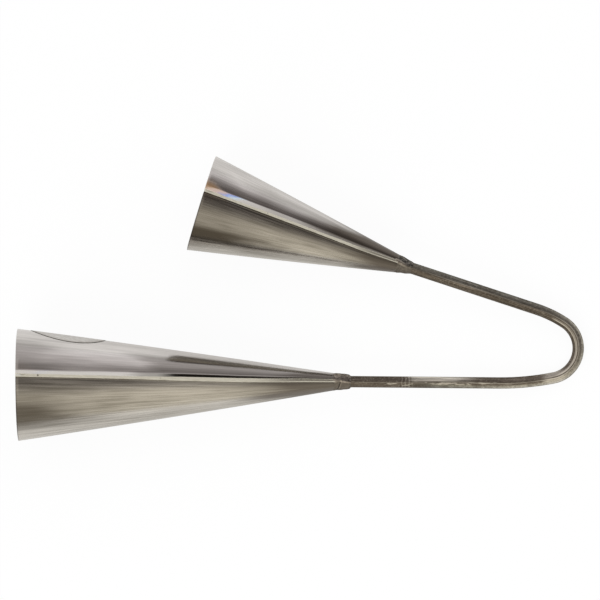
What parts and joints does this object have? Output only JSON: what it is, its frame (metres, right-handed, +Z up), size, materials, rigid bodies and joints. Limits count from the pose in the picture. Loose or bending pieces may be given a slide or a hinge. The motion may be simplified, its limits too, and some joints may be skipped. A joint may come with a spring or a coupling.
{
  "type": "agogo bell",
  "caption": "Hand-held double agogo: a long and a small conical sheet-steel bell with flanged, welded seams, on the ends of a bent round steel rod, struck with a stick.",
  "frame": {"origin": "on the surface the bell lies on, under the middle of its bounding box", "axes": "+X along the long bell from its mouth towards the rod's bow, +Y towards the small bell, +Z up from the surface"},
  "size_m": [0.3502, 0.1738, 0.0731],
  "materials": {
    "bell_steel": "bare sheet steel, brushed lengthwise, satin",
    "weld_steel": "weld metal, ground and brushed",
    "rod_steel": "bare drawn bar, darkened and worn bright in places"
  },
  "bodies": {
    "root": {"long_bell_upper_shell": "bell_steel", "long_bell_lower_shell": "bell_steel", "long_bell_near_seam_weld": "weld_steel", "long_bell_far_seam_weld": "weld_steel", "long_bell_neck_weld": "weld_steel", "small_bell_upper_shell": "bell_steel", "small_bell_lower_shell": "bell_steel", "small_bell_near_seam_weld": "weld_steel", "small_bell_far_seam_weld": "weld_steel", "small_bell_neck_weld": "weld_steel", "handle_rod": "rod_steel"}
  },
  "joints": []
}
